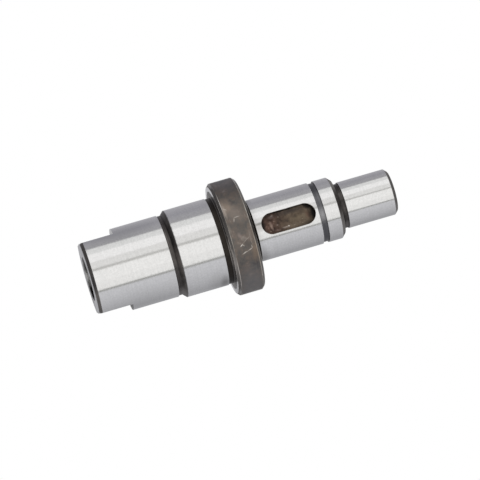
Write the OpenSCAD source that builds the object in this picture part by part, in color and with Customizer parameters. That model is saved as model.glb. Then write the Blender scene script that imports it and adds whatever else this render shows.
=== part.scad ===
// Stepped drive shaft: one turned steel piece with ground seats, a flange, relief grooves, a ring groove,
// a closed keyway, two milled flats and a blind bore. It stands on its bored end, with its axis along Z.

/* [Bored journal] */
// Diameter of the ground journal at the bored end
journal_d = 31.8; // [30:0.1:33]
// Length of the journal, from the bored end to its relief groove
journal_l = 31; // [24:0.1:45]
// Chamfer round the bored end
journal_chamfer = 1.2; // [0.4:0.1:1.8]

/* [Bore] */
// Diameter of the blind bore
bore_d = 16.5; // [8:0.1:22]
// Depth of the bore, from the end face to the foot of its straight wall
bore_depth = 40; // [15:0.5:44]
// Chamfer round the mouth of the bore
bore_chamfer = 0.4; // [0.2:0.1:1]
// Included angle of the conical bottom that the drill leaves
drill_angle = 118; // [90:1:140]

/* [Flats] */
// Distance across the two flats
flats_across = 27.4; // [25:0.1:29]
// Length of the flats, from the bored end
flats_l = 13; // [4:0.1:22]
// Turn of the flats about the axis, away from square to the keyway
flats_turn = 4.2; // [-45:0.1:45]

/* [Bearing seat] */
// Diameter of the ground bearing seat below the flange
bearing_d = 34; // [33.2:0.1:38]
// Length of the bearing seat, with its lead chamfer
bearing_l = 17.8; // [8:0.1:30]
// Lead chamfer on the side where the bearing is pushed on
bearing_chamfer = 1.5; // [0.4:0.1:1.5]

/* [Flange] */
// Diameter of the flange
flange_d = 44; // [40:0.1:60]
// Thickness of the flange
flange_w = 10.5; // [4:0.1:20]
// Chamfer on both rims of the flange
flange_chamfer = 1; // [0.2:0.1:1.8]

/* [Keyed seat] */
// Diameter of the ground seat that carries the key
keyed_d = 24; // [21.5:0.1:28]
// Length of the seat, from its relief groove to the ring groove
keyed_l = 24.6; // [24:0.1:40]
// Width of the keyway
key_w = 8; // [5:0.1:10]
// Length of the keyway over its round ends
key_l = 21; // [12:0.1:21.5]
// Depth of the keyway below the crown of the seat
key_depth = 4; // [2:0.1:5]
// Distance from the start of the seat to the keyway
key_start = 2.4; // [0.8:0.1:2.8]

/* [Ring groove] */
// Width of the groove for the retaining ring
ring_groove_w = 2.3; // [1.3:0.1:3]
// Depth of the ring groove
ring_groove_depth = 0.55; // [0.3:0.05:1]

/* [Collar] */
// Length of the collar beyond the ring groove, with its chamfer
collar_l = 6.7; // [4:0.1:12]
// Chamfer on the outer rim of the collar
collar_chamfer = 1.4; // [0.3:0.1:1.6]

/* [End journal] */
// Diameter of the ground end journal
end_d = 18; // [14:0.1:20]
// Length of the end journal, with its chamfer
end_l = 19.7; // [10:0.1:40]
// Chamfer on the end of the journal
end_chamfer = 1.2; // [0.3:0.1:2]

/* [Relief grooves] */
// Width of the relief between the bored journal and the bearing seat
journal_relief_w = 1.6; // [1:0.1:3]
// Width of the relief between the bearing seat and the flange
bearing_relief_w = 2.3; // [1:0.1:3]
// Width of the relief between the flange and the keyed seat
keyed_relief_w = 1.8; // [1:0.1:3]
// Width of the relief between the collar and the end journal
end_relief_w = 2.2; // [1:0.1:3]
// Depth of the relief cut into the bored journal
journal_relief_depth = 0.4; // [0.2:0.05:0.6]
// Depth of the relief cut into the bearing seat
bearing_relief_depth = 0.3; // [0.2:0.05:0.6]
// Depth of the relief cut into the keyed seat
keyed_relief_depth = 0.3; // [0.2:0.05:0.6]
// Depth of the relief cut into the end journal
end_relief_depth = 0.4; // [0.2:0.05:0.6]
// Radius that the grooving tool leaves at the foot of a shoulder
foot_radius = 0.3; // [0.1:0.05:0.4]
// Small chamfer that breaks each ground edge beside a groove
edge_break = 0.2; // [0.1:0.05:0.3]

/* [Centre hole] */
// Diameter of the pilot of the centre hole in the small end
centre_pilot_d = 2.5; // [1.6:0.1:4]
// Depth of the pilot, from the end face
centre_pilot_depth = 6.5; // [5:0.1:10]
// Mouth of the cone that the turning centre runs in
centre_mouth_d = 5.3; // [4.5:0.1:8]
// Included angle of that cone
centre_angle = 60; // [60:15:90]

/* [Hidden] */
$fn = 96;
// Distance by which a cutter stands clear of the surface it cuts
clear = 1;
// Distance by which a fillet reaches into the metal that it grows from
root = 0.2;
// Direction of the seam of the turned surfaces, clear of the keyway and the flats
seam_turn = 45;

journal_r = journal_d / 2;
bearing_r = bearing_d / 2;
flange_r = flange_d / 2;
keyed_r = keyed_d / 2;
end_r = end_d / 2;

// Heights of the steps, each from the one below it
journal_top = journal_l;
bearing_foot = journal_top + journal_relief_w;
bearing_top = bearing_foot + bearing_l;
flange_foot = bearing_top + bearing_relief_w;
flange_top = flange_foot + flange_w;
keyed_foot = flange_top + keyed_relief_w;
keyed_top = keyed_foot + keyed_l;
collar_foot = keyed_top + ring_groove_w;
collar_top = collar_foot + collar_l;
end_foot = collar_top + end_relief_w;
end_top = end_foot + end_l;

// Outer corners of one step, from its lower edge to its upper edge, each edge with its own chamfer
function step(r, z0, z1, chamfer0, chamfer1) =
    [[r - chamfer0, z0], [r, z0 + chamfer0], [r, z1 - chamfer1], [r - chamfer1, z1]];

// Floor of one groove, as its two inner corners
function groove(r, z0, z1) = [[r, z0], [r, z1]];

// Half section of the solid shaft, in radius and height
module turned_section() {
    polygon(concat(
        [[0, 0]],
        step(journal_r, 0, journal_top, journal_chamfer, edge_break),
        groove(journal_r - journal_relief_depth, journal_top, bearing_foot),
        step(bearing_r, bearing_foot, bearing_top, bearing_chamfer, edge_break),
        groove(bearing_r - bearing_relief_depth, bearing_top, flange_foot),
        step(flange_r, flange_foot, flange_top, flange_chamfer, flange_chamfer),
        groove(keyed_r - keyed_relief_depth, flange_top, keyed_foot),
        step(keyed_r, keyed_foot, keyed_top, edge_break, edge_break),
        groove(keyed_r - ring_groove_depth, keyed_top, collar_foot),
        step(keyed_r, collar_foot, collar_top, edge_break, collar_chamfer),
        groove(end_r - end_relief_depth, collar_top, end_foot),
        step(end_r, end_foot, end_top, edge_break, end_chamfer),
        [[0, end_top]]
    ));
}

// Fillet in the corner between a groove floor and a shoulder; side is 1 where the shoulder is above it
module foot_fillet(r, z, side) {
    low = side > 0 ? z - foot_radius : z - root;
    difference() {
        translate([r - root, low]) square(foot_radius + root);
        translate([r + foot_radius, z - side * foot_radius]) circle(foot_radius);
    }
}

// The section with a fillet at the foot of each tall shoulder
module filleted_section() {
    turned_section();
    foot_fillet(bearing_r - bearing_relief_depth, flange_foot, 1);
    foot_fillet(keyed_r - keyed_relief_depth, flange_top, -1);
    foot_fillet(end_r - end_relief_depth, collar_top, -1);
}

// Blind drilled bore, with its mouth chamfer
module bore() {
    point_h = bore_d / 2 / tan(drill_angle / 2);
    rotate_extrude() polygon([
        [0, -clear],
        [bore_d / 2 + bore_chamfer + clear, -clear],
        [bore_d / 2, bore_chamfer],
        [bore_d / 2, bore_depth],
        [0, bore_depth + point_h]
    ]);
}

// Two flats milled on opposite sides of the bored end
module flats() {
    rotate([0, 0, flats_turn])
        for (side = [0, 180])
            rotate([0, 0, side])
                translate([flats_across / 2, -journal_r - clear, -clear])
                    cube([journal_r, 2 * (journal_r + clear), flats_l + clear]);
}

// Closed keyway with round ends, on the -Y side of the keyed seat
module keyway() {
    low = keyed_foot + key_start + key_w / 2;
    high = keyed_foot + key_start + key_l - key_w / 2;
    floor_y = -(keyed_r - key_depth);
    cut_h = key_depth + clear;
    translate([0, floor_y, 0]) rotate([90, 0, 0]) {
        translate([0, low, 0]) cylinder(d = key_w, h = cut_h);
        translate([0, high, 0]) cylinder(d = key_w, h = cut_h);
        translate([-key_w / 2, low, 0]) cube([key_w, high - low, cut_h]);
    }
}

// Centre hole that the shaft was ground on, in the small end
module centre_hole() {
    slope = tan(centre_angle / 2);
    cone_h = (centre_mouth_d - centre_pilot_d) / 2 / slope;
    translate([0, 0, end_top]) rotate_extrude() polygon([
        [0, clear],
        [centre_mouth_d / 2 + clear * slope, clear],
        [centre_pilot_d / 2, -cone_h],
        [centre_pilot_d / 2, -centre_pilot_depth],
        [0, -centre_pilot_depth - centre_pilot_d / 2 / tan(drill_angle / 2)]
    ]);
}

module stepped_shaft() {
    color("#a9a9ab")
        difference() {
            rotate([0, 0, seam_turn]) rotate_extrude() filleted_section();
            bore();
            flats();
            keyway();
            centre_hole();
        }
}

stepped_shaft();
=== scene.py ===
"""Stepped drive shaft: one piece of steel, turned, hardened and ground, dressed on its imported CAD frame."""

import logging
import math
from collections.abc import Mapping, Sequence
from dataclasses import dataclass, field
from enum import Enum

import bmesh
import bpy
from bmesh.types import BMesh, BMFace, BMVert
from bpy.types import Material, Node, NodeSocket, NodeTree, Object
from mathutils import Matrix, Vector


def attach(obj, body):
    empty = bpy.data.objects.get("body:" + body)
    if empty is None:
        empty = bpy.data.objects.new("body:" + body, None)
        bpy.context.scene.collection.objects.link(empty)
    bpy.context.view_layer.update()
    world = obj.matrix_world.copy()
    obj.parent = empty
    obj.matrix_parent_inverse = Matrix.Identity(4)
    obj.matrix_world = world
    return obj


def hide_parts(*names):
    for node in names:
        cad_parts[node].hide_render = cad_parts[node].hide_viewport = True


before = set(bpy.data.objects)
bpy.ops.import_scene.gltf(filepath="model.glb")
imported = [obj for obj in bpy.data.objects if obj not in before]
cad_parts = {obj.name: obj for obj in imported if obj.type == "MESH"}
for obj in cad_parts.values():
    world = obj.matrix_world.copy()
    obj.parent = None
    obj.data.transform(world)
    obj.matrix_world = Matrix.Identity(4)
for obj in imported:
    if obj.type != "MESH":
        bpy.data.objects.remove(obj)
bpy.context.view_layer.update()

LOG = logging.getLogger("stepped_shaft")
MM = 0.001
# Nearly all the values of a noise lie in this range, around this middle.
NOISE_RANGE = (0.3, 0.7)
NOISE_MIDDLE = 0.5
# Sockets of a colour mix, which share their names with others: the colour below, the one above and the mix.
BELOW, ABOVE, MIXED = 6, 7, 2
# Corners nearer to each other than this are one, in millimetres.
SAME_PLACE = 1e-6


class Surface(Enum):
    """The surfaces of the shaft that look different, each by the name of its material."""

    GROUND = "ground_steel_seat"
    FLANGE = "hardened_steel_flange"
    CHAMFER = "hardened_steel_chamfer"
    RELIEF = "turned_steel_relief"
    DARK_RELIEF_AND_SHADE = "dark_steel_relief_and_painted_shade"
    RING_GROOVE = "turned_steel_ring_groove"
    EDGE = "rubbed_steel_edge"
    FACED = "lathe_faced_steel_end"
    SHOULDER = "ground_steel_shoulder"
    BORE = "drilled_steel_bore"
    FLAT = "milled_steel_flat"
    KEY_WALL = "milled_steel_keyway_wall"
    KEY_FLOOR = "greased_steel_keyway_floor"


# A point of the half section: its radius, its height, and the surface of the line to the next point.
Point = tuple[float, float, Surface]


def linear(colour: str) -> tuple[float, float, float, float]:
    """Turn an sRGB hex colour into linear light, by the curve that the sRGB standard gives.

    Args:
        colour: six hex digits after a hash sign.

    Returns:
        Red, green, blue and an alpha of 1.
    """
    parts = [int(colour[i : i + 2], 16) / 255 for i in (1, 3, 5)]
    red, green, blue = (c / 12.92 if c <= 0.04045 else ((c + 0.055) / 1.055) ** 2.4 for c in parts)
    return red, green, blue, 1.0


def blank(name: str) -> tuple[Material, NodeTree]:
    """Make a material without any nodes.

    Args:
        name: the material's name.

    Returns:
        The material and its node tree.
    """
    made = bpy.data.materials.new(name)
    made.use_nodes = True
    made.node_tree.nodes.clear()
    return made, made.node_tree


def add(
    tree: NodeTree,
    kind: str,
    inputs: Mapping[str | int, object] | None = None,
    stops: Sequence[tuple[float, str]] = (),
    **settings: object,
) -> Node:
    """Add a node with its settings and links.

    Args:
        tree: the node tree that the node goes into.
        kind: Blender's name for the kind of node, without the ShaderNode that it starts with.
        inputs: for each input, the socket that feeds it or the value that it holds.
        stops: for a colour ramp, each stop's place and hex colour.
        settings: the node's own properties.

    Returns:
        The new node.
    """
    node = tree.nodes.new(f"ShaderNode{kind}")
    for name, value in settings.items():
        setattr(node, name, value)
    for key, value in (inputs or {}).items():
        if isinstance(value, NodeSocket):
            tree.links.new(value, node.inputs[key])
        else:
            node.inputs[key].default_value = value
    for i, (place, colour) in enumerate(stops):
        ramp = node.color_ramp.elements
        stop = ramp[i] if i < len(ramp) else ramp.new(place)
        stop.position = place
        stop.color = linear(colour)
    return node


def spaced(tones: Sequence[str], low: float, high: float) -> list[tuple[float, str]]:
    """Space the tones of a colour ramp evenly.

    Args:
        tones: hex colours.
        low: place of the first.
        high: place of the last.

    Returns:
        Each tone's place and hex colour.
    """
    last = len(tones) - 1
    return [(low + (high - low) * i / last, tone) for i, tone in enumerate(tones)]


@dataclass(frozen=True)
class Mark:
    """A scratch, smear or worn patch on a surface that is laid out flat: a long ellipse with soft edges.

    Attributes:
        start: height, and distance aside from the keyway's middle line, in millimetres.
        stop: height and distance aside, in millimetres.
        width: width in millimetres.
        colour: hex colour of the mark.
        core: share of the width that has the full colour; the rest fades out.
        strength: share of the surface that the mark hides.
    """

    start: tuple[float, float]
    stop: tuple[float, float]
    width: float = 0.32
    colour: str = "#d0cac2"
    core: float = 0.3
    strength: float = 1.0

    def over(self, tree: NodeTree, flat: NodeSocket, colour: NodeSocket) -> NodeSocket:
        """Lay the mark over a colour.

        Args:
            tree: the material's node tree.
            flat: the point on the surface, laid out flat, in millimetres.
            colour: the colour under the mark.

        Returns:
            The colour with the mark on it.
        """
        first, last = (Vector((aside, height, 0.0)) for height, aside in (self.start, self.stop))
        run = last - first
        ellipse = {
            "Vector": flat,
            "Location": (first + last) / 2,
            "Rotation": (0.0, 0.0, math.atan2(run.y, run.x)),
            "Scale": ((run.length + self.width) / 2, self.width / 2, 1.0),
        }
        local = add(tree, "Mapping", ellipse, vector_type="TEXTURE").outputs["Vector"]
        away = add(tree, "VectorMath", {0: local}, operation="LENGTH").outputs["Value"]
        fade = {"Value": away, "From Min": self.core, "To Min": self.strength, "To Max": 0.0}
        share = add(tree, "MapRange", fade).outputs["Result"]
        layers = {0: share, BELOW: colour, ABOVE: linear(self.colour)}
        return add(tree, "Mix", layers, data_type="RGBA").outputs[MIXED]


@dataclass(frozen=True)
class Finish:
    """A steel surface: what every finish of the shaft starts from.

    Attributes:
        surface: the surface that it is on.
        marks: the marks on it, the lowest first.
        waver: how far the marks' outlines wander, in millimetres.
        waver_spacing: how far apart the bends of their outlines are, in millimetres.
        blotch: size of a blotch, in millimetres.
        blotch_detail: number of finer layers in the blotches.
        speckle: strength of those layers.
    """

    surface: Surface
    marks: tuple[Mark, ...] = ()
    waver: float = 0.6
    waver_spacing: float = 1.2
    blotch: float = 6.0
    blotch_detail: float = 4.0
    speckle: float = 0.6

    def material(self) -> Material:
        """Make the material.

        Returns:
            A metal, dressed with the finish's own pattern.
        """
        made, tree = blank(self.surface.value)
        shader = add(tree, "BsdfPrincipled", {"Metallic": 1.0})
        add(tree, "OutputMaterial", {"Surface": shader.outputs["BSDF"]})
        metres = add(tree, "TexCoord").outputs["Object"]
        millimetres = add(tree, "VectorMath", {0: metres, "Scale": 1 / MM}, operation="SCALE")
        self.dress(tree, shader, millimetres.outputs["Vector"])
        return made

    def dress(self, tree: NodeTree, shader: Node, place: NodeSocket) -> None:
        """Add the pattern at a place in millimetres, which each kind of finish does in its own way."""
        raise NotImplementedError

    def blotches(self, tree: NodeTree, place: NodeSocket) -> NodeSocket:
        """Make the noise that gives the finish its blotches."""
        layers = {"Detail": self.blotch_detail, "Roughness": self.speckle}
        return add(tree, "TexNoise", {"Vector": place, "Scale": 1 / self.blotch, **layers}).outputs["Fac"]

    def aside(self, tree: NodeTree, place: NodeSocket) -> NodeSocket:
        """Find the distance aside from the keyway's middle line, which on a level surface is just x."""
        return add(tree, "SeparateXYZ", {0: place}).outputs["X"]

    def marked(self, tree: NodeTree, place: NodeSocket, colour: NodeSocket) -> NodeSocket:
        """Lay the finish's marks over its own colour.

        Args:
            tree: the material's node tree.
            place: the point on the shaft, in millimetres.
            colour: the colour without marks.

        Returns:
            The colour with the marks.
        """
        if not self.marks:
            return colour
        height = add(tree, "SeparateXYZ", {0: place}).outputs["Z"]
        flat = add(tree, "CombineXYZ", {"X": self.aside(tree, place), "Y": height}).outputs["Vector"]
        bends = add(tree, "TexNoise", {"Vector": place, "Scale": 1 / self.waver_spacing}).outputs["Color"]
        middle, reach = (NOISE_MIDDLE,) * 3, (self.waver, self.waver, 0.0)
        centred = add(tree, "VectorMath", {0: bends, 1: middle}, operation="SUBTRACT").outputs["Vector"]
        wandered = add(tree, "VectorMath", {0: centred, 1: reach, 2: flat}, operation="MULTIPLY_ADD")
        for mark in self.marks:
            colour = mark.over(tree, wandered.outputs["Vector"], colour)
        return colour


@dataclass(frozen=True, kw_only=True)
class LaidSteel(Finish):
    """Steel with tool or grinding lines around the axis, and blotches in its tone.

    The lines of a real cut are 0.02 to 0.1 mm apart, too fine to show here, so they are drawn coarser.

    Attributes:
        tones: hex colours from the darkest to the brightest.
        roughness: roughness of the brightest and of the darkest steel.
        spread: span of the pattern's values that the tones share out; a small one gives strong contrast.
        blotch_share: share of the blotches in the pattern; the lines have the rest.
        line_spacing: distance between the lines, in millimetres.
        line_length: length of a line before it fades, in millimetres.
        line_detail: number of finer layers in the lines.
        line_grain: strength of those layers.
        anisotropy: how far the highlights are drawn out across the lines.
        highlight_turn: turn of the highlights from along the lines to across them, in full turns.
        unroll_radius: radius at which the surface is laid out flat for its marks, in millimetres.
    """

    tones: tuple[str, ...]
    roughness: tuple[float, float] = (0.35, 0.5)
    spread: float = 0.5
    blotch_share: float = 0.5
    line_spacing: float = 0.45
    line_length: float = 30.0
    line_detail: float = 2.0
    line_grain: float = 0.6
    anisotropy: float = 0.2
    highlight_turn: float = 0.25
    unroll_radius: float = 12.0

    def dress(self, tree: NodeTree, shader: Node, place: NodeSocket) -> None:
        """Mix lines and blotches into tone and roughness, and draw the highlights out across the lines.

        Args:
            tree: the material's node tree.
            shader: the shader to set and to link to.
            place: the point on the shaft, in millimetres.
        """
        mixed = self.pattern(tree, place)
        stops = spaced(self.tones, NOISE_MIDDLE - self.spread / 2, NOISE_MIDDLE + self.spread / 2)
        tone = add(tree, "ValToRGB", {"Fac": mixed}, stops).outputs["Color"]
        tree.links.new(self.marked(tree, place, tone), shader.inputs["Base Color"])
        low, high = NOISE_RANGE
        bright, dark = self.roughness
        gloss = {"Value": mixed, "From Min": low, "From Max": high, "To Min": dark, "To Max": bright}
        tree.links.new(add(tree, "MapRange", gloss).outputs["Result"], shader.inputs["Roughness"])
        tangent = add(tree, "Tangent", direction_type="RADIAL", axis="Z").outputs["Tangent"]
        tree.links.new(tangent, shader.inputs["Tangent"])
        shader.inputs["Anisotropic"].default_value = self.anisotropy
        shader.inputs["Anisotropic Rotation"].default_value = self.highlight_turn

    def aside(self, tree: NodeTree, place: NodeSocket) -> NodeSocket:
        """Find the distance around the shaft from the keyway's middle line.

        Args:
            tree: the material's node tree.
            place: the point on the shaft, in millimetres.

        Returns:
            The distance in millimetres, at the radius where the surface is laid out flat.
        """
        split = add(tree, "SeparateXYZ", {0: place}).outputs
        front = add(tree, "Math", {0: split["Y"], 1: -1.0}, operation="MULTIPLY").outputs["Value"]
        angle = add(tree, "Math", {0: split["X"], 1: front}, operation="ARCTAN2").outputs["Value"]
        return add(tree, "Math", {0: angle, 1: self.unroll_radius}, operation="MULTIPLY").outputs["Value"]

    def pattern(self, tree: NodeTree, place: NodeSocket) -> NodeSocket:
        """Mix the lines and the blotches.

        Args:
            tree: the material's node tree.
            place: the point on the shaft, in millimetres.

        Returns:
            A value about 0.5, higher where the steel is brighter.
        """
        along = (1 / self.line_length, 1 / self.line_length, 1 / self.line_spacing)
        stretched = add(tree, "VectorMath", {0: place, 1: along}, operation="MULTIPLY").outputs["Vector"]
        layers = {"Detail": self.line_detail, "Roughness": self.line_grain}
        lines = add(tree, "TexNoise", {"Vector": stretched, "Scale": 1.0, **layers}).outputs["Fac"]
        shares = {"Factor": self.blotch_share, "A": lines, "B": self.blotches(tree, place)}
        return add(tree, "Mix", shares).outputs["Result"]


@dataclass(frozen=True)
class KeywayFloor(Finish):
    """Milled keyway floor under old grease: browns that run into each other, with bright specks.

    Attributes:
        low_tones: hex colours at the end beside the flange, from dark to light.
        high_tones: hex colours at the other end.
        turn: heights between which the one runs into the other, in millimetres.
        speck: hex colour of the specks.
        speck_spacing: distance between specks, in millimetres.
        speck_size: radius of a speck, in millimetres.
        speck_core: share of the radius that has the full colour.
        metallic: share of bare metal that shows through the grease.
        roughness: roughness of the grease.
    """

    blotch: float = 2.4
    speckle: float = 0.65
    low_tones: tuple[str, ...] = ("#271a17", "#45322b", "#604a40", "#8a6e62")
    high_tones: tuple[str, ...] = ("#4b4038", "#655749", "#756757", "#877867")
    turn: tuple[float, float] = (72.0, 79.0)
    speck: str = "#b9aa9a"
    speck_spacing: float = 2.2
    speck_size: float = 0.2
    speck_core: float = 0.5
    metallic: float = 0.6
    roughness: float = 0.45

    def dress(self, tree: NodeTree, shader: Node, place: NodeSocket) -> None:
        """Mix the grease's browns, the specks and the marks.

        Args:
            tree: the material's node tree.
            shader: the shader to set and to link to.
            place: the point on the shaft, in millimetres.
        """
        blotches = self.blotches(tree, place)
        low, high = (
            add(tree, "ValToRGB", {"Fac": blotches}, spaced(tones, *NOISE_RANGE)).outputs["Color"]
            for tones in (self.low_tones, self.high_tones)
        )
        height = add(tree, "SeparateXYZ", {0: place}).outputs["Z"]
        rise = {"Value": height, "From Min": self.turn[0], "From Max": self.turn[1]}
        turned = add(tree, "MapRange", rise).outputs["Result"]
        grease = add(tree, "Mix", {0: turned, BELOW: low, ABOVE: high}, data_type="RGBA").outputs[MIXED]
        cells = add(tree, "TexVoronoi", {"Vector": place, "Scale": 1 / self.speck_spacing})
        size = self.speck_size / self.speck_spacing
        fade = {"From Min": self.speck_core * size, "From Max": size, "To Min": 1.0, "To Max": 0.0}
        bright = add(tree, "MapRange", {"Value": cells.outputs["Distance"], **fade}).outputs["Result"]
        layers = {0: bright, BELOW: grease, ABOVE: linear(self.speck)}
        tone = add(tree, "Mix", layers, data_type="RGBA").outputs[MIXED]
        tree.links.new(self.marked(tree, place, tone), shader.inputs["Base Color"])
        shader.inputs["Metallic"].default_value = self.metallic
        shader.inputs["Roughness"].default_value = self.roughness


# Scratches on the flange that handling has left: a hook, a cross with a long tail and a bent stroke.
FLANGE_SCRATCHES = (
    Mark((56.5, -3.6), (57.0, -5.3)),
    Mark((57.0, -5.3), (59.3, -5.4)),
    Mark((56.3, 5.9), (57.4, 5.1), 0.5, "#e6e2dc"),
    Mark((57.2, 5.2), (60.6, 3.0), 0.26, "#a8a099"),
    Mark((57.0, 5.2), (57.9, 6.0), 0.36, "#b9b2aa"),
    Mark((60.5, 3.8), (61.0, 6.8), 0.24, "#9a9088"),
    Mark((56.1, 8.9), (59.0, 8.1), 0.45),
    Mark((58.8, 8.2), (60.6, 7.4), 0.5),
    Mark((60.5, 7.4), (60.6, 6.3), 0.3),
    Mark((54.0, -10.3), (55.5, -8.9), 0.3),
)

# Places where the flange's skin is rubbed thin and looks lighter, and two where it is thick and dark; the
# four wide bands across the whole flange on its two sides are painted sheen.
FLANGE_PATCHES_AND_SHEEN = (
    # Painted sheen: lighter bands across the whole flange on both its sides.
    Mark((58.4, 20.0), (58.4, 31.0), 16.0, "#8f8d8d", 0.3, 0.6),
    Mark((58.4, -30.0), (58.4, -23.0), 14.0, "#89878a", 0.3, 0.5),
    Mark((54.5, 35.0), (62.5, 35.0), 8.0, "#b9b9b9", 0.2, 0.5),
    Mark((54.5, -32.6), (62.5, -32.6), 8.0, "#bdbdbf", 0.2, 0.5),
    Mark((58.2, 4.2), (59.8, 6.2), 3.2, "#5d5956", 0.2, 0.5),
    Mark((57.6, -3.2), (59.2, -1.4), 3.4, "#605d5a", 0.2, 0.45),
    Mark((55.4, -12.8), (56.4, -7.4), 6.0, "#9a8c80", 0.1, 0.75),
    Mark((57.4, -8.0), (58.6, -4.8), 7.0, "#938a83", 0.1, 0.5),
    Mark((54.2, -12.4), (54.4, -5.4), 1.6, "#b4a9a0", 0.2, 0.7),
    Mark((61.4, 5.8), (60.8, 12.6), 3.4, "#8b7b6d", 0.2, 0.75),
    Mark((56.9, 1.2), (57.3, 2.4), 1.8, "#968a85", 0.2, 0.6),
    Mark((54.0, -3.2), (54.2, 0.2), 1.2, "#8d8781", 0.2, 0.6),
)

# Stretches of the flange's two rims that handling has rubbed bright, painted lighter still as highlights.
EDGE_RUBS_AND_HIGHLIGHTS = (
    Mark((53.7, -17.0), (53.7, -9.5), 1.4, "#efebe6", 0.3, 0.9),
    Mark((53.7, 9.5), (53.7, 27.0), 1.4, "#dcd6cf", 0.3, 0.9),
    Mark((62.2, -31.0), (62.2, -21.0), 1.4, "#e8e6e2", 0.3, 0.9),
    Mark((62.2, 1.0), (62.2, 17.0), 1.4, "#b8a898", 0.3, 0.8),
)

# Stretches of the chamfers: darker on the ends, the collar and the flange's top, others lighter; the light
# stretches on the -X side of the flange's two chamfers are painted highlights.
CHAMFER_MARKS_AND_HIGHLIGHTS = (
    Mark((0.6, 1.0), (0.6, 6.0), 4.0, "#383738", 0.2, 0.85),
    # Painted highlight on the -X side of the flange's lower chamfer.
    Mark((53.35, -24.0), (53.35, -16.0), 1.2, "#bab8b7", 0.3, 0.8),
    Mark((53.35, 4.5), (53.35, 12.5), 1.4, "#96918d", 0.2, 0.6),
    Mark((53.35, 18.0), (53.35, 24.0), 1.2, "#a9a8a7", 0.3, 0.7),
    Mark((52.7, 1.0), (52.7, 12.5), 0.9, "#a09b97", 0.4, 0.75),
    # Painted highlight on the -X side of the flange's upper chamfer.
    Mark((62.6, -24.5), (62.6, -15.5), 1.2, "#b5b3b1", 0.3, 0.8),
    Mark((62.8, -7.0), (62.8, 4.5), 1.6, "#2b2725", 0.4, 0.9),
    Mark((97.9, -9.0), (97.9, 5.5), 3.4, "#2b2725", 0.4, 0.9),
    Mark((119.9, -15.5), (119.9, 14.5), 4.0, "#3a3838", 0.6, 0.5),
)

# Grease that was pushed about in the keyway, and bare steel that shines through it, with painted shade along
# its walls and in its round ends.
KEYWAY_GREASE_AND_SHADE = (
    Mark((71.2, -0.9), (71.6, 2.3), 1.3, "#a08a7e", 0.2, 0.9),
    Mark((70.9, -2.6), (73.0, -2.4), 1.4, "#74655f", 0.2, 0.7),
    Mark((72.4, 2.6), (74.2, 3.0), 1.0, "#87706a", 0.2, 0.7),
    Mark((75.5, 2.5), (78.0, 2.6), 0.9, "#a59890", 0.3, 0.9),
    Mark((79.0, 0.4), (84.5, 0.3), 3.0, "#82745f", 0.2, 0.5),
    # Painted shade under the upper wall.
    Mark((74.0, -2.9), (85.5, -2.9), 2.8, "#48403d", 0.3, 0.7),
    Mark((85.7, -1.2), (85.9, 1.4), 2.2, "#7c6152", 0.2, 0.6),
    # Painted shade along the foot of the upper wall, in the far round end and in its corner.
    Mark((69.0, -4.1), (86.5, -4.1), 1.2, "#0d0a09", 0.4, 0.95),
    Mark((88.5, -2.4), (88.5, 2.4), 3.6, "#0d0a09", 0.5, 0.95),
    Mark((87.4, -2.8), (85.6, -4.2), 3.4, "#0d0a09", 0.4, 0.95),
    # Painted shade in the round end beside the flange.
    Mark((67.8, -3.0), (67.8, 3.0), 3.8, "#140d0b", 0.4, 0.9),
    Mark((72.0, -3.1), (72.8, -3.0), 0.8, "#958b86", 0.2, 0.8),
    Mark((72.6, -0.8), (72.9, -0.7), 0.5, "#9c867a", 0.2, 0.8),
    Mark((73.5, 0.6), (73.8, 0.7), 0.6, "#a08e84", 0.2, 0.8),
    Mark((77.6, 2.2), (77.9, 2.3), 0.5, "#e0d8d0", 0.4, 1.0),
    Mark((79.5, 2.5), (80.2, 2.5), 0.4, "#a89b8f", 0.2, 0.7),
    # Painted shade along the lower wall, in its far corner and in the far round end.
    Mark((83.0, 3.4), (86.4, 2.8), 1.8, "#40372f", 0.2, 0.45),
    Mark((87.4, 3.4), (84.8, 4.4), 2.6, "#140d0b", 0.2, 0.7),
    Mark((86.6, -2.0), (86.6, 2.2), 2.4, "#2a1e19", 0.1, 0.6),
)

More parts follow.
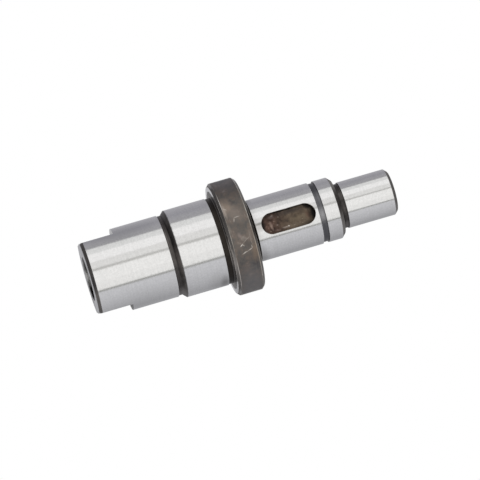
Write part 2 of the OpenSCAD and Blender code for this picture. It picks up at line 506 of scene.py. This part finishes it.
# The finish of every surface.
FINISHES = (
    # Cylindrically ground: mirror-bright along each line, drawn out across the lines.
    # Its marks are painted shade in bands along the journal's two sides and in a ring beside the flange, a
    # smear between the flange and the keyway, and dull ends of seats.
    LaidSteel(
        Surface.GROUND,
        marks=(
            # Painted shade along the journal's two sides.
            Mark((3.0, -11.2), (28.0, -11.2), 9.0, "#c8c8c8", 0.3, 0.45),
            Mark((3.0, 13.2), (28.0, 13.2), 13.0, "#cacaca", 0.2, 0.3),
            Mark((46.5, 13.6), (46.5, 18.0), 11.0, "#bcbbba", 0.1, 0.5),
            Mark((49.0, 12.8), (48.6, 18.2), 4.8, "#8c8b8a", 0.25, 0.7),
            # Painted shade in a ring beside the flange.
            Mark((65.2, -16.0), (65.2, 16.0), 3.6, "#a6a5a4", 0.0, 0.35),
            Mark((65.6, 10.0), (65.6, 20.0), 6.0, "#9a9998", 0.2, 0.55),
            Mark((65.4, -18.5), (65.4, -12.5), 4.0, "#8f8e8e", 0.2, 0.5),
            Mark((65.5, 0.2), (67.5, 0.2), 4.2, "#c0bebc", 0.2, 0.8),
            Mark((65.0, -1.1), (68.4, -1.3), 1.7, "#a3a19f", 0.1, 0.7),
            Mark((34.1, -36.0), (34.1, 36.0), 0.6, "#777676", 0.3, 0.8),
        ),
        tones=("#dddddd", "#f3f3f3"),
        roughness=(0.14, 0.19),
        blotch=0.7,
        blotch_share=0.7,
        anisotropy=0.6,
    ),
    # Turned, then hardened in oil: a dull brown-grey skin with lighter rubbed patches and painted sheen on
    # its sides.
    LaidSteel(
        Surface.FLANGE,
        marks=FLANGE_PATCHES_AND_SHEEN + FLANGE_SCRATCHES,
        tones=("#595557", "#6b6865", "#796f68", "#8f8781"),
        roughness=(0.42, 0.58),
        line_spacing=0.9,
        blotch=4.0,
        blotch_share=0.8,
        speckle=0.75,
        spread=0.36,
        unroll_radius=22.0,
    ),
    # The same black skin on the chamfers, which the grinding wheel never touched.
    LaidSteel(
        Surface.CHAMFER,
        marks=CHAMFER_MARKS_AND_HIGHLIGHTS,
        tones=("#484646", "#777370"),
        roughness=(0.4, 0.55),
        unroll_radius=15.3,
    ),
    # Grooves that were turned before hardening: the skin stays brown-black in them.
    LaidSteel(
        Surface.RELIEF,
        marks=(
            Mark((33.4, -1.5), (33.4, 7.0), 2.0, "#6c6663", 0.3, 0.6),
            Mark((32.6, 14.0), (32.6, 18.5), 5.0, "#8e8a88", 0.3, 0.7),
            Mark((98.6, -10.0), (98.6, 7.0), 1.6, "#1d1a19", 0.3, 0.8),
            Mark((100.0, 10.5), (100.0, 16.5), 2.4, "#807c7a", 0.3, 0.7),
        ),
        tones=("#282626", "#474443", "#625e5c"),
        line_spacing=0.8,
        blotch=2.5,
        blotch_share=0.35,
        spread=0.35,
    ),
    # Grooves beside the flange, darker than the others, and the wall of one flat, whose black is painted
    # shade.
    LaidSteel(
        Surface.DARK_RELIEF_AND_SHADE,
        marks=(
            # Painted shade: black in the corner at the upper end of the first flat.
            Mark((13.0, 12.5), (13.0, 25.0), 2.0, "#050505", 0.8, 1.0),
            Mark((64.1, -40.0), (64.1, 40.0), 3.0, "#12100f", 0.6, 0.8),
        ),
        tones=("#272422", "#47423d"),
    ),
    # Grooved after hardening: dark slate, with a painted highlight beside the keyway's line.
    LaidSteel(
        Surface.RING_GROOVE,
        marks=(Mark((90.75, 0.2), (90.75, 4.0), 4.0, "#a2a2a4", 0.0, 0.9),),
        tones=("#565659", "#757578"),
        roughness=(0.3, 0.4),
        anisotropy=0.5,
        unroll_radius=11.45,
    ),
    # Corners that handling has rubbed back to bare steel.
    LaidSteel(
        Surface.EDGE,
        marks=EDGE_RUBS_AND_HIGHLIGHTS,
        tones=("#57534f", "#9d978f", "#e4e0da"),
        roughness=(0.3, 0.45),
        blotch=5.0,
        blotch_share=0.85,
        anisotropy=0.0,
        unroll_radius=22.0,
    ),
    # Faced on the lathe and left: greyer than the ground seats, with fine rings.
    LaidSteel(
        Surface.FACED,
        marks=(
            Mark((0.0, -3.0), (0.0, 4.5), 6.0, "#76767a", 0.2, 0.6),
            Mark((0.0, 27.0), (0.0, 36.5), 6.0, "#5f5f61", 0.3, 0.7),
        ),
        tones=("#8e8e91", "#acacaf"),
        roughness=(0.3, 0.4),
        anisotropy=0.3,
        unroll_radius=11.7,
    ),
    # Face of the flange that a bearing comes up against: ground, but less finely than the seats.
    LaidSteel(
        Surface.SHOULDER,
        marks=(
            # Painted reflection: shade towards the +X side of the face and a bright painted highlight between
            # it and the keyway's line.
            Mark((52.7, 20.0), (52.7, 38.0), 8.0, "#747477", 0.4, 0.9),
            Mark((52.7, 2.0), (52.7, 16.0), 8.0, "#f6f2f0", 0.5, 0.9),
        ),
        tones=("#b0b0b3", "#ccccce"),
        roughness=(0.22, 0.3),
        unroll_radius=20.0,
    ),
    # Drilled: rough, oily and dark, with painted shade and a painted highlight at the mouth.
    LaidSteel(
        Surface.BORE,
        marks=(
            # Painted shade on the +X side of the far wall, by the mouth.
            Mark((0.6, 14.0), (0.6, 23.5), 4.4, "#141211", 0.5, 0.9),
            # Painted highlight on the far wall, by the mouth.
            Mark((1.0, -21.0), (1.0, -14.0), 3.6, "#8c8c8c", 0.3, 0.6),
            Mark((0.9, -25.9), (1.1, -22.4), 3.4, "#d2d2d1", 0.2, 0.9),
            Mark((1.0, 24.6), (1.0, 25.9), 3.0, "#b0b0af", 0.2, 0.7),
        ),
        tones=("#3b3938", "#6f6e6c"),
        anisotropy=0.3,
        unroll_radius=8.25,
    ),
    # Milled across: bright and a little coarser than the ground seats.
    LaidSteel(Surface.FLAT, tones=("#b4b4b4", "#cfcfcf"), roughness=(0.28, 0.38), anisotropy=0.3),
    # Side wall of the keyway: cut with an end mill; its near-black tones are painted shade in the narrow
    # slot.
    LaidSteel(Surface.KEY_WALL, tones=("#120d0b", "#2a2320"), roughness=(0.4, 0.5), anisotropy=0.0),
    # Floor of the keyway: milled, under old grease that looks brown and patchy, with painted shade along its
    # walls.
    KeywayFloor(Surface.KEY_FLOOR, marks=KEYWAY_GREASE_AND_SHADE, waver=0.9),
)


def finishes() -> dict[Surface, Material]:
    """Make the material of every surface."""
    return {finish.surface: finish.material() for finish in FINISHES}


def band(shape: BMesh, low: Sequence[BMVert], high: Sequence[BMVert]) -> list[BMFace]:
    """Lay a band of faces between two loops, one of which may be a single point.

    Args:
        shape: the shape that the loops are in.
        low: the first loop.
        high: the second loop.

    Returns:
        The faces, in the order of the loops.
    """
    faces = []
    count = max(len(low), len(high))
    for i in range(count):
        j = (i + 1) % count
        around = [low[i % len(low)], low[j % len(low)], high[j % len(high)], high[i % len(high)]]
        faces.append(shape.faces.new(dict.fromkeys(around)))
    return faces


def into_scene(name: str, shape: BMesh, materials: Sequence[Material]) -> Object:
    """Turn a shape into an object of the scene.

    Args:
        name: the object's name.
        shape: the shape, which is used up.
        materials: the materials that its faces count through.

    Returns:
        The new object.
    """
    bmesh.ops.recalc_face_normals(shape, faces=shape.faces)
    mesh = bpy.data.meshes.new(name)
    shape.to_mesh(mesh)
    shape.free()
    for material in materials:
        mesh.materials.append(material)
    made = bpy.data.objects.new(name, mesh)
    bpy.context.scene.collection.objects.link(made)
    return made


@dataclass(frozen=True)
class Corner:
    """A corner of the turned half section, in millimetres.

    Attributes:
        radius: distance from the axis.
        height: height above the bored end.
        surface: the surface of the line from this corner to the next.
        blend: radius of the round at this corner.
        edge: the surface of that round, if it isn't the line's own.
    """

    radius: float
    height: float
    surface: Surface
    blend: float = 0.0
    edge: Surface | None = None

    def meets(self, other: "Corner") -> bool:
        """Tell whether another corner is at the same place."""
        return math.dist((self.radius, self.height), (other.radius, other.height)) < SAME_PLACE


@dataclass(frozen=True)
class Step:
    """One turned step of the shaft, with a chamfer at each end.

    Attributes:
        radius: radius of the step.
        length: length along the shaft.
        foot_chamfer: chamfer at the lower end.
        top_chamfer: chamfer at the upper end.
        bevels: the surfaces of the lower and the upper chamfer.
        seat: the surface of the cylinder.
        shoulder: the surface of the wall that leads to what is above.
        blend: radius of the rounds at its corners.
        edges: the surface of those rounds, if it isn't the seat's own.
    """

    radius: float
    length: float
    foot_chamfer: float
    top_chamfer: float
    bevels: tuple[Surface, Surface] = (Surface.GROUND, Surface.CHAMFER)
    seat: Surface = Surface.GROUND
    shoulder: Surface = Surface.RELIEF
    blend: float = 0.06
    edges: Surface | None = None

    def corners(self, foot: float) -> list[Corner]:
        """Place the step's outer corners.

        Args:
            foot: height of the step's lower end.

        Returns:
            The corners, from the foot to the top.
        """
        low, high, top = self.foot_chamfer, self.top_chamfer, foot + self.length
        spots = [
            (self.radius - low, foot, self.bevels[0]),
            (self.radius, foot + low, self.seat),
            (self.radius, top - high, self.bevels[1]),
            (self.radius - high, top, self.shoulder),
        ]
        return [Corner(*spot, self.blend, self.edges) for spot in spots]


@dataclass(frozen=True)
class Groove:
    """A turned groove between two steps.

    Attributes:
        radius: radius of its floor.
        length: length along the shaft.
        surface: the surface of its floor.
        wall: the surface of its upper wall.
        fillets: radii at the lower and the upper end of the floor.
        rim: radius on the upper wall from which on it has another surface, if any.
        rim_surface: that other surface.
    """

    radius: float
    length: float
    surface: Surface = Surface.RELIEF
    wall: Surface = Surface.RELIEF
    fillets: tuple[float, float] = (0.0, 0.0)
    rim: float | None = None
    rim_surface: Surface = Surface.SHOULDER

    def corners(self, foot: float) -> list[Corner]:
        """Place the corners of the groove's floor and of its upper wall's rim.

        Args:
            foot: height of the groove's lower wall.

        Returns:
            Two corners, or three where the wall has a rim.
        """
        top = foot + self.length
        made = [
            Corner(self.radius, foot, self.surface, self.fillets[0]),
            Corner(self.radius, top, self.wall, self.fillets[1]),
        ]
        if self.rim is not None:
            made.append(Corner(self.rim, top, self.rim_surface))
        return made


@dataclass(frozen=True)
class Keyway:
    """Closed keyway with round ends, milled into the keyed seat on the -Y side.

    Attributes:
        seat_radius: radius of the seat.
        width: width of the keyway.
        length: length over its round ends.
        depth: depth below the crown of the seat.
        foot: height of its lower end.
        rim: size of the bright deburred edge round its mouth.
        end_steps: straight pieces in each round end.
        reach: how far the cutter stands out beyond the seat.
    """

    seat_radius: float
    width: float
    length: float
    depth: float
    foot: float
    rim: float = 0.12
    end_steps: int = 32
    reach: float = 3.0

    def mouth(self, offset: float) -> list[tuple[float, float]]:
        """Work out the outline of the mouth.

        Args:
            offset: how far the outline is moved outwards.

        Returns:
            Points by distance from the axis' plane and height, in millimetres.
        """
        radius = self.width / 2 + offset
        low, high = self.foot + self.width / 2, self.foot + self.length - self.width / 2
        turns = [math.pi * i / self.end_steps for i in range(self.end_steps + 1)]
        upper = [(radius * math.cos(t), high + radius * math.sin(t)) for t in turns]
        lower = [(-radius * math.cos(t), low - radius * math.sin(t)) for t in turns]
        return upper + lower

    def crown(self, across: float, rise: float) -> float:
        """Return y of a point that stands out from the seat by a given rise."""
        return -math.sqrt(self.seat_radius**2 - across**2) - rise

    def cutter(self, materials: Mapping[Surface, Material]) -> Object:
        """Build the tool that cuts the keyway.

        Args:
            materials: the materials by surface.

        Returns:
            A closed mesh: the keyway with its flared rim, standing out of the seat.
        """
        floor_y, outside_y = self.depth - self.seat_radius, -(self.seat_radius + self.reach)
        # The flare leans out by 45 degrees, from one rim below the seat to one rim above it.
        inner, flared = self.mouth(0.0), self.mouth(2 * self.rim)
        rings = [
            [(x, floor_y, z) for x, z in inner],
            [(x, self.crown(x, -self.rim), z) for x, z in inner],
            [(x, self.crown(x, self.rim), z) for x, z in flared],
            [(x, outside_y, z) for x, z in flared],
        ]
        order = [Surface.KEY_FLOOR, Surface.KEY_WALL, Surface.EDGE]
        shape = bmesh.new()
        loops = [[shape.verts.new(Vector(spot) * MM) for spot in ring] for ring in rings]
        shape.faces.new(loops[0]).material_index = order.index(Surface.KEY_FLOOR)
        shape.faces.new(loops[-1]).material_index = order.index(Surface.EDGE)
        for surface, low, high in zip((Surface.KEY_WALL, Surface.EDGE, Surface.EDGE), loops, loops[1:]):
            for face in band(shape, low, high):
                face.material_index = order.index(surface)
        return into_scene("keyway_cutter", shape, [materials[s] for s in order])


@dataclass(frozen=True)
class Flats:
    """Two flats milled on opposite sides of the bored end.

    Attributes:
        across: distance across the flats.
        length: length from the bored end.
        turn: degrees that the first flat is turned from +X.
        stock_radius: radius of the journal that they are cut in.
        clear: how far the cutter stands clear of the journal.
        walls: the surfaces of the walls at the upper ends of the first and the second flat; the first is dark
            with painted shade.
        edge_break: chamfer on the edge between each flat and the end face.
    """

    across: float
    length: float
    turn: float
    stock_radius: float
    clear: float = 2.0
    # The first flat's wall takes the dark finish as painted shade.
    walls: tuple[Surface, Surface] = (Surface.DARK_RELIEF_AND_SHADE, Surface.FLAT)
    edge_break: float = 0.6

    def cutter(self, side: int, materials: Mapping[Surface, Material]) -> Object:
        """Build the tool that cuts one flat.

        Args:
            side: 0 for the flat on the +X side, 1 for the other.
            materials: the materials by surface.

        Returns:
            A closed prism with its inner side on the flat.
        """
        reach, inner = self.stock_radius + self.clear, self.across / 2
        section = [
            (inner, self.edge_break),
            (inner, self.length),
            (reach, self.length),
            (reach, -self.clear),
            (inner - (self.edge_break + self.clear), -self.clear),
        ]
        turn = Matrix.Rotation(math.radians(self.turn) + math.pi * side, 3, "Z")
        shape = bmesh.new()
        near, far = (
            [shape.verts.new(turn @ Vector((out, along, height)) * MM) for out, height in section]
            for along in (-reach, reach)
        )
        shape.faces.new(near)
        shape.faces.new(far)
        order = [Surface.FLAT, self.walls[side]]
        _, wall, *_ = band(shape, near, far)
        wall.material_index = order.index(self.walls[side])
        return into_scene(f"flat_cutter_{side}", shape, [materials[s] for s in order])


@dataclass
class SteppedShaft:
    """The whole shaft, which was made from one bar: turned, milled, hardened and ground.

    Sizes are in millimetres and degrees, from the bored end upwards. Grooves are given by width and depth.

    Attributes:
        bearing_rim: diameter on the flange's lower face from which on it was ground.
        edge_break: break of the seats' edges. Grinding takes most of it away, so the seats are bright up
            to their corners.
        rub_radius: round of the flange's rubbed corners.
        sides: straight pieces in a full turn.
        round_steps: straight pieces in the round of a corner.
        round_share: share of a line that a round, or its support, takes at most.
        support: distance from a round to the point that keeps the shading beside it flat.
        sharp_angle: angle from which on an edge is shaded sharp.
        materials: the materials by surface.
    """

    journal_diameter: float = 31.8
    journal_length: float = 31.0
    journal_chamfer: float = 1.2
    bore_diameter: float = 16.5
    bore_depth: float = 40.0
    bore_chamfer: float = 0.4
    drill_angle: float = 118.0
    bearing_diameter: float = 34.0
    bearing_length: float = 17.8
    bearing_chamfer: float = 1.5
    bearing_rim: float = 38.4
    flange_diameter: float = 44.0
    flange_width: float = 10.5
    flange_chamfer: float = 1.0
    keyed_diameter: float = 24.0
    keyed_length: float = 24.6
    key_width: float = 8.0
    key_length: float = 21.0
    key_depth: float = 4.0
    key_start: float = 2.4
    ring_groove: tuple[float, float] = (2.3, 0.55)
    collar_length: float = 6.7
    collar_chamfer: float = 1.4
    end_diameter: float = 18.0
    end_length: float = 19.7
    end_chamfer: float = 1.2
    journal_relief: tuple[float, float] = (1.6, 0.4)
    bearing_relief: tuple[float, float] = (2.3, 0.3)
    keyed_relief: tuple[float, float] = (1.8, 0.3)
    end_relief: tuple[float, float] = (2.2, 0.4)
    foot_radius: float = 0.3
    edge_break: float = 0.06
    rub_radius: float = 0.25
    flats_across: float = 27.4
    flats_length: float = 13.0
    flats_turn: float = 4.2
    pilot_diameter: float = 2.5
    pilot_depth: float = 6.5
    centre_mouth: float = 5.3
    centre_angle: float = 60.0
    sides: int = 360
    round_steps: int = 3
    round_share: float = 0.3
    support: float = 0.12
    sharp_angle: float = 24.0
    materials: dict[Surface, Material] = field(default_factory=finishes)

    @property
    def keyed_foot(self) -> float:
        """Height of the keyed seat's lower end."""
        seats = self.journal_length + self.journal_relief[0] + self.bearing_length + self.bearing_relief[0]
        return seats + self.flange_width + self.keyed_relief[0]

    def drill_point(self, diameter: float) -> float:
        """Return the height of the cone that a drill of this diameter leaves."""
        return diameter / 2 / math.tan(math.radians(self.drill_angle / 2))

    def bore_corners(self) -> list[Corner]:
        """Place the corners of the bore.

        Returns:
            The corners, from its tip down to its mouth.
        """
        radius = self.bore_diameter / 2
        tip = self.bore_depth + self.drill_point(self.bore_diameter)
        return [
            Corner(0.0, tip, Surface.BORE),
            Corner(radius, self.bore_depth, Surface.BORE),
            Corner(radius, self.bore_chamfer, Surface.BORE),
            Corner(radius + self.bore_chamfer, 0.0, Surface.FACED),
        ]

    def centre_corners(self, top: float) -> list[Corner]:
        """Place the corners of the centre hole.

        Args:
            top: height of the small end's face.

        Returns:
            The corners, from its mouth down to its tip.
        """
        mouth, pilot = self.centre_mouth / 2, self.pilot_diameter / 2
        cone = (mouth - pilot) / math.tan(math.radians(self.centre_angle / 2))
        floor = top - self.pilot_depth
        return [
            Corner(mouth, top, Surface.FACED),
            Corner(pilot, top - cone, Surface.BORE),
            Corner(pilot, floor, Surface.BORE),
            Corner(0.0, floor - self.drill_point(self.pilot_diameter), Surface.BORE),
        ]

    def sections(self) -> list[Step | Groove]:
        """List the steps and the grooves between them.

        Returns:
            The sections, from the bored end upwards.
        """
        journal, bearing = self.journal_diameter / 2, self.bearing_diameter / 2
        flange, keyed, end = self.flange_diameter / 2, self.keyed_diameter / 2, self.end_diameter / 2
        edge, foot, rim = self.edge_break, self.foot_radius, self.flange_chamfer
        ground, skin, dark_relief = Surface.GROUND, Surface.CHAMFER, Surface.DARK_RELIEF_AND_SHADE
        return [
            Step(journal, self.journal_length, self.journal_chamfer, edge, (skin, ground)),
            Groove(journal - self.journal_relief[1], self.journal_relief[0]),
            Step(bearing, self.bearing_length, self.bearing_chamfer, edge, (Surface.RELIEF, ground)),
            Groove(
                bearing - self.bearing_relief[1],
                self.bearing_relief[0],
                dark_relief,
                wall=skin,
                fillets=(0.0, foot),
                rim=self.bearing_rim / 2,
            ),
            Step(
                flange,
                self.flange_width,
                rim,
                rim,
                (skin, skin),
                seat=Surface.FLANGE,
                shoulder=Surface.FLANGE,
                blend=self.rub_radius,
                edges=Surface.EDGE,
            ),
            Groove(keyed - self.keyed_relief[1], self.keyed_relief[0], dark_relief, dark_relief, fillets=(foot, 0.0)),
            Step(keyed, self.keyed_length, edge, edge, (ground, ground)),
            Groove(keyed - self.ring_groove[1], self.ring_groove[0], Surface.RING_GROOVE),
            Step(keyed, self.collar_length, edge, self.collar_chamfer),
            Groove(end - self.end_relief[1], self.end_relief[0], fillets=(foot, 0.0)),
            Step(end, self.end_length, edge, self.end_chamfer, shoulder=Surface.FACED),
        ]

    def outline(self) -> list[Corner]:
        """Work out the half section.

        Returns:
            Its corners, from the bore's tip round to the centre hole's tip.
        """
        corners = self.bore_corners()
        height = 0.0
        for section in self.sections():
            corners += section.corners(height)
            height += section.length
        corners += self.centre_corners(height)
        return [a for a, b in zip(corners, corners[1:]) if not a.meets(b)] + corners[-1:]

    def rings(self) -> list[Point]:
        """Round the outline's corners.

        Returns:
            The points of the rounded outline.
        """
        outline = self.outline()
        neighbours = zip(outline[-1:] + outline, outline, outline[1:] + outline[:1])
        return [point for three in neighbours for point in self.rounded(*three)]

    def rounded(self, previous: Corner, corner: Corner, following: Corner) -> list[Point]:
        """Replace a corner by a round, with a support point on each side of it.

        Args:
            previous: the corner before it.
            corner: the corner.
            following: the corner after it.

        Returns:
            The points of the round, or just the corner if it is sharp.
        """
        if corner.blend == 0.0:
            return [(corner.radius, corner.height, corner.surface)]
        here = Vector((corner.radius, corner.height))
        before, after = (Vector((c.radius, c.height)) - here for c in (previous, following))
        half = before.angle(after) / 2
        way_in, way_out = before.normalized(), after.normalized()
        most_in, most_out = self.round_share * before.length, self.round_share * after.length
        run = min(corner.blend / math.tan(half), most_in, most_out)
        radius = run * math.tan(half)
        centre = here + (way_in + way_out).normalized() * (radius / math.sin(half))
        first, last = here + way_in * run - centre, here + way_out * run - centre
        turn = first.angle_signed(last)
        points: list[Point] = [(*(here + way_in * (run + min(self.support, most_in))), previous.surface)]
        for step in range(self.round_steps + 1):
            arm = first.copy()
            arm.rotate(Matrix.Rotation(-turn * step / self.round_steps, 2))
            surface = corner.surface if step == self.round_steps else corner.edge or corner.surface
            points.append((*(centre + arm), surface))
        points.append((*(here + way_out * (run + min(self.support, most_out))), corner.surface))
        return points

    def turned(self) -> Object:
        """Turn the bar.

        Returns:
            The shaft as the lathe leaves it, without keyway and flats.
        """
        order = list(self.materials)
        points = self.rings()
        shape = bmesh.new()
        loops: list[list[BMVert]] = []
        for radius, height, _ in points:
            turns = [2 * math.pi * i / self.sides for i in range(self.sides if radius > 0 else 1)]
            spots = [Vector((radius * math.cos(t), radius * math.sin(t), height)) * MM for t in turns]
            loops.append([shape.verts.new(spot) for spot in spots])
        for (_, _, surface), low, high in zip(points, loops, loops[1:]):
            for face in band(shape, low, high):
                face.material_index = order.index(surface)
        return into_scene("shaft", shape, list(self.materials.values()))

    def mill(self, body: Object, cutters: Sequence[Object]) -> None:
        """Cut the keyway and the flats into the turned body.

        Args:
            body: the turned body.
            cutters: the tools, which are used up.
        """
        for cutter in cutters:
            cut = body.modifiers.new(cutter.name, "BOOLEAN")
            cut.object = cutter
            cut.operation = "DIFFERENCE"
            cut.solver = "EXACT"
            cut.material_mode = "TRANSFER"
        graph = bpy.context.evaluated_depsgraph_get()
        body.data = bpy.data.meshes.new_from_object(body.evaluated_get(graph))
        body.modifiers.clear()
        for cutter in cutters:
            bpy.data.objects.remove(cutter)
        body.data.polygons.foreach_set("use_smooth", [True] * len(body.data.polygons))
        body.data.set_sharp_from_angle(angle=math.radians(self.sharp_angle))

    def build(self) -> Object:
        """Make the shaft and set it in the place of its CAD solid.

        Returns:
            The finished piece.
        """
        key_foot = self.keyed_foot + self.key_start
        keyway = Keyway(self.keyed_diameter / 2, self.key_width, self.key_length, self.key_depth, key_foot)
        flats = Flats(self.flats_across, self.flats_length, self.flats_turn, self.journal_diameter / 2)
        body = self.turned()
        cutters = [keyway.cutter(self.materials), *(flats.cutter(side, self.materials) for side in (0, 1))]
        self.mill(body, cutters)
        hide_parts("stepped_shaft")
        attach(body, "root")
        return body


@dataclass(frozen=True)
class Panel:
    """One panel of the light tent: an upright strip of it, a part of its ground, or its roof.

    Attributes:
        name: what the panel is in the studio.
        start: degrees from the camera's direction, positive towards +X.
        stop: degrees from the camera's direction.
        glow: the hex colour that it shines in, at its start.
        fade: the hex colour at its stop, if it isn't the same.
    """

    name: str
    start: float
    stop: float
    glow: str
    fade: str | None = None

    def shine(self, share: float) -> Vector:
        """Return the linear colour at a share of the way from start to stop."""
        return Vector(linear(self.glow)).lerp(Vector(linear(self.fade or self.glow)), share)


@dataclass(frozen=True)
class Studio:
    """The tent, floor, backdrop and camera that the shaft is looked at with.

    The camera looks up at the shaft from just below its bored end, rolled to one side.
    Lengths are in millimetres and angles in degrees.

    Attributes:
        azimuth: direction of the camera from -Y, positive towards +X.
        aim_aside: how far the camera looks past the shaft's axis.
        strip_width: angle of the flat strips that make a panel round.
        glow_layer: name of the layer that holds the panels' colours.
        floor_gap: gap under the shaft.
        floor_core: share of the floor's radius that is solid; beyond it the floor fades out.
        bounces: the two halves of the tent's ground.
    """

    azimuth: float = 4.2
    elevation: float = -6.8394
    roll: float = -16.199
    distance: float = 1148.9
    aim_height: float = 59.39
    aim_aside: float = 1.788
    focal_length: float = 227.36
    sensor: float = 36.0
    tent_radius: float = 1500.0
    tent_half_height: float = 1100.0
    strip_width: float = 2.0
    glow_layer: str = "glow"
    floor_radius: float = 600.0
    floor_gap: float = 0.2
    floor_core: float = 0.3
    floor_sides: int = 96
    floor_colour: str = "#f4f4f4"
    backdrop_colour: str = "#ffffff"
    panels: tuple[Panel, ...] = (
        Panel("rim_lower", -195.0, -190.0, "#a4a4a7"),
        Panel("backdrop", -190.0, -168.0, "#e0e0e2"),
        Panel("rim_upper", -168.0, -136.0, "#b2b1b6", "#a8a7ac"),
        Panel("dark_side", -136.0, -114.0, "#a8a7ac", "#9e9da3"),
        Panel("dark_edge", -114.0, -97.0, "#9e9da3", "#a7a6aa"),
        Panel("dark_end", -97.0, -83.0, "#a7a6aa", "#a3a2a5"),
        Panel("upper_fill", -83.0, -65.0, "#e8e8e7"),
        Panel("upper_light", -65.0, -41.0, "#fefdfc"),
        Panel("upper_sheet", -41.0, -22.0, "#e9e8e6", "#efeeec"),
        Panel("upper_gap", -22.0, -15.5, "#c2c1be"),
        Panel("key_light", -15.5, 16.0, "#fdfcfa"),
        Panel("key_side", 16.0, 38.5, "#f7f6f4"),
        Panel("lower_gap", 38.5, 44.0, "#9c9c99"),
        Panel("lower_fill", 44.0, 66.0, "#d3d3d6", "#cbcbce"),
        Panel("lower_side", 66.0, 96.0, "#cbcbce", "#bcbcbf"),
        Panel("lower_turn", 96.0, 132.0, "#bcbcbf", "#a6a6a9"),
        Panel("lower_back", 132.0, 165.0, "#a6a6a9", "#a4a4a7"),
    )
    bounces: tuple[Panel, ...] = (
        Panel("bounce_upper", -180.0, 0.0, "#a8a8a8"),
        Panel("bounce_lower", 0.0, 180.0, "#f4f4f4"),
    )
    roof: Panel = Panel("roof", 0.0, 360.0, "#ffffff")

    def bearing(self, angle: float) -> Vector:
        """Return the level direction at an angle from the camera's."""
        turn = math.radians(self.azimuth + angle)
        return Vector((math.sin(turn), -math.cos(turn), 0.0))

    def cloth(self) -> Material:
        """Make the shining cloth of the panels, which glows in the colour that each point of it carries.

        Returns:
            The cloth.
        """
        made, tree = blank("shining_cloth")
        glow = add(tree, "VertexColor", layer_name=self.glow_layer)
        shine = add(tree, "Emission", {"Color": glow.outputs["Color"]})
        add(tree, "OutputMaterial", {"Surface": shine.outputs["Emission"]})
        return made

    def tent(self) -> list[Object]:
        """Hang the panels round the shaft, where the camera doesn't see them.

        Returns:
            The panels, the two halves of the tent's ground and its roof.
        """
        made = []
        cloth = self.cloth()
        lift = Vector((0.0, 0.0, self.tent_half_height))
        for panel in (*self.panels, *self.bounces, self.roof):
            shape = bmesh.new()
            layer = shape.verts.layers.float_color.new(self.glow_layer)
            span = panel.stop - panel.start
            strips = round(span / self.strip_width)
            low: list[BMVert] = []
            high: list[BMVert] = []
            for i in range(strips + 1):
                foot = self.bearing(panel.start + span * i / strips) * self.tent_radius
                for row, spot in ((low, foot - lift), (high, foot + lift)):
                    vert = shape.verts.new(spot * MM)
                    vert[layer] = panel.shine(i / strips)
                    row.append(vert)
            if panel in self.bounces:
                shape.faces.new(low)
            elif panel is self.roof:
                shape.faces.new(high[1:])
            else:
                for i in range(strips):
                    shape.faces.new((low[i], low[i + 1], high[i + 1], high[i]))
            hung = into_scene(panel.name, shape, [cloth])
            hung.visible_camera = False
            made.append(hung)
        return made

    def paper(self) -> Material:
        """Make the floor's pale paper, which fades out into the backdrop and isn't seen from below.

        Returns:
            The paper.
        """
        made, tree = blank("pale_paper_floor")
        matt = add(tree, "BsdfDiffuse", {"Color": linear(self.floor_colour)}).outputs["BSDF"]
        clear = add(tree, "BsdfTransparent").outputs["BSDF"]
        spot = add(tree, "TexCoord").outputs["Object"]
        away = add(tree, "VectorMath", {0: spot}, operation="LENGTH").outputs["Value"]
        reach = self.floor_radius * MM
        fade = {"Value": away, "From Min": self.floor_core * reach, "From Max": reach}
        faded = add(tree, "MapRange", fade).outputs["Result"]
        side = add(tree, "NewGeometry").outputs["Backfacing"]
        unseen = add(tree, "Math", {0: faded, 1: side}, operation="MAXIMUM").outputs["Value"]
        both = add(tree, "MixShader", {0: unseen, 1: matt, 2: clear})
        add(tree, "OutputMaterial", {"Surface": both.outputs["Shader"]})
        return made

    def floor(self) -> Object:
        """Lay the floor.

        Returns:
            The floor, which isn't mirrored in the shaft, doesn't light it and throws no shadow.
        """
        shape = bmesh.new()
        bmesh.ops.create_circle(
            shape, cap_ends=True, segments=self.floor_sides, radius=self.floor_radius * MM
        )
        for vert in shape.verts:
            vert.co.z = -self.floor_gap * MM
        laid = into_scene("floor", shape, [self.paper()])
        if laid.data.polygons[0].normal.z < 0:
            laid.data.flip_normals()
        laid.visible_glossy = False
        laid.visible_diffuse = False
        laid.visible_shadow = False
        return laid

    def backdrop(self) -> None:
        """Set the white world."""
        world = bpy.data.worlds.new("white_backdrop")
        world.use_nodes = True
        world.node_tree.nodes["Background"].inputs["Color"].default_value = linear(self.backdrop_colour)
        bpy.context.scene.world = world

    def camera(self) -> None:
        """Set the camera at the photograph's angle."""
        rise, roll = math.radians(self.elevation), math.radians(self.roll)
        up = Vector((0.0, 0.0, 1.0))
        towards = self.bearing(0.0) * math.cos(rise) + up * math.sin(rise)
        aside = self.bearing(90.0)
        upright = up * math.cos(rise) - self.bearing(0.0) * math.sin(rise)
        right = upright * math.cos(roll) - aside * math.sin(roll)
        top = -upright * math.sin(roll) - aside * math.cos(roll)
        place = (up * self.aim_height + aside * self.aim_aside + towards * self.distance) * MM
        data = bpy.data.cameras.new("camera")
        data.lens = self.focal_length
        data.sensor_width = self.sensor
        made = bpy.data.objects.new("camera", data)
        bpy.context.scene.collection.objects.link(made)
        turn = Matrix((right, top, towards)).transposed().to_4x4()
        made.matrix_world = Matrix.Translation(place) @ turn
        bpy.context.scene.camera = made

    def build(self) -> list[Object]:
        """Set up the studio.

        Returns:
            What stands in it, apart from the shaft.
        """
        bpy.context.scene.view_settings.view_transform = "Standard"
        self.backdrop()
        self.camera()
        stood = [*self.tent(), self.floor()]
        return stood


def main() -> None:
    """Build the studio and the shaft, and report each piece."""
    logging.basicConfig(level=logging.INFO, format="%(message)s")
    for stood in Studio().build():
        LOG.info("studio: %s", stood.name)
    shaft = SteppedShaft().build()
    LOG.info("piece: %s, %d faces", shaft.name, len(shaft.data.polygons))


if __name__ == "__main__":
    main()
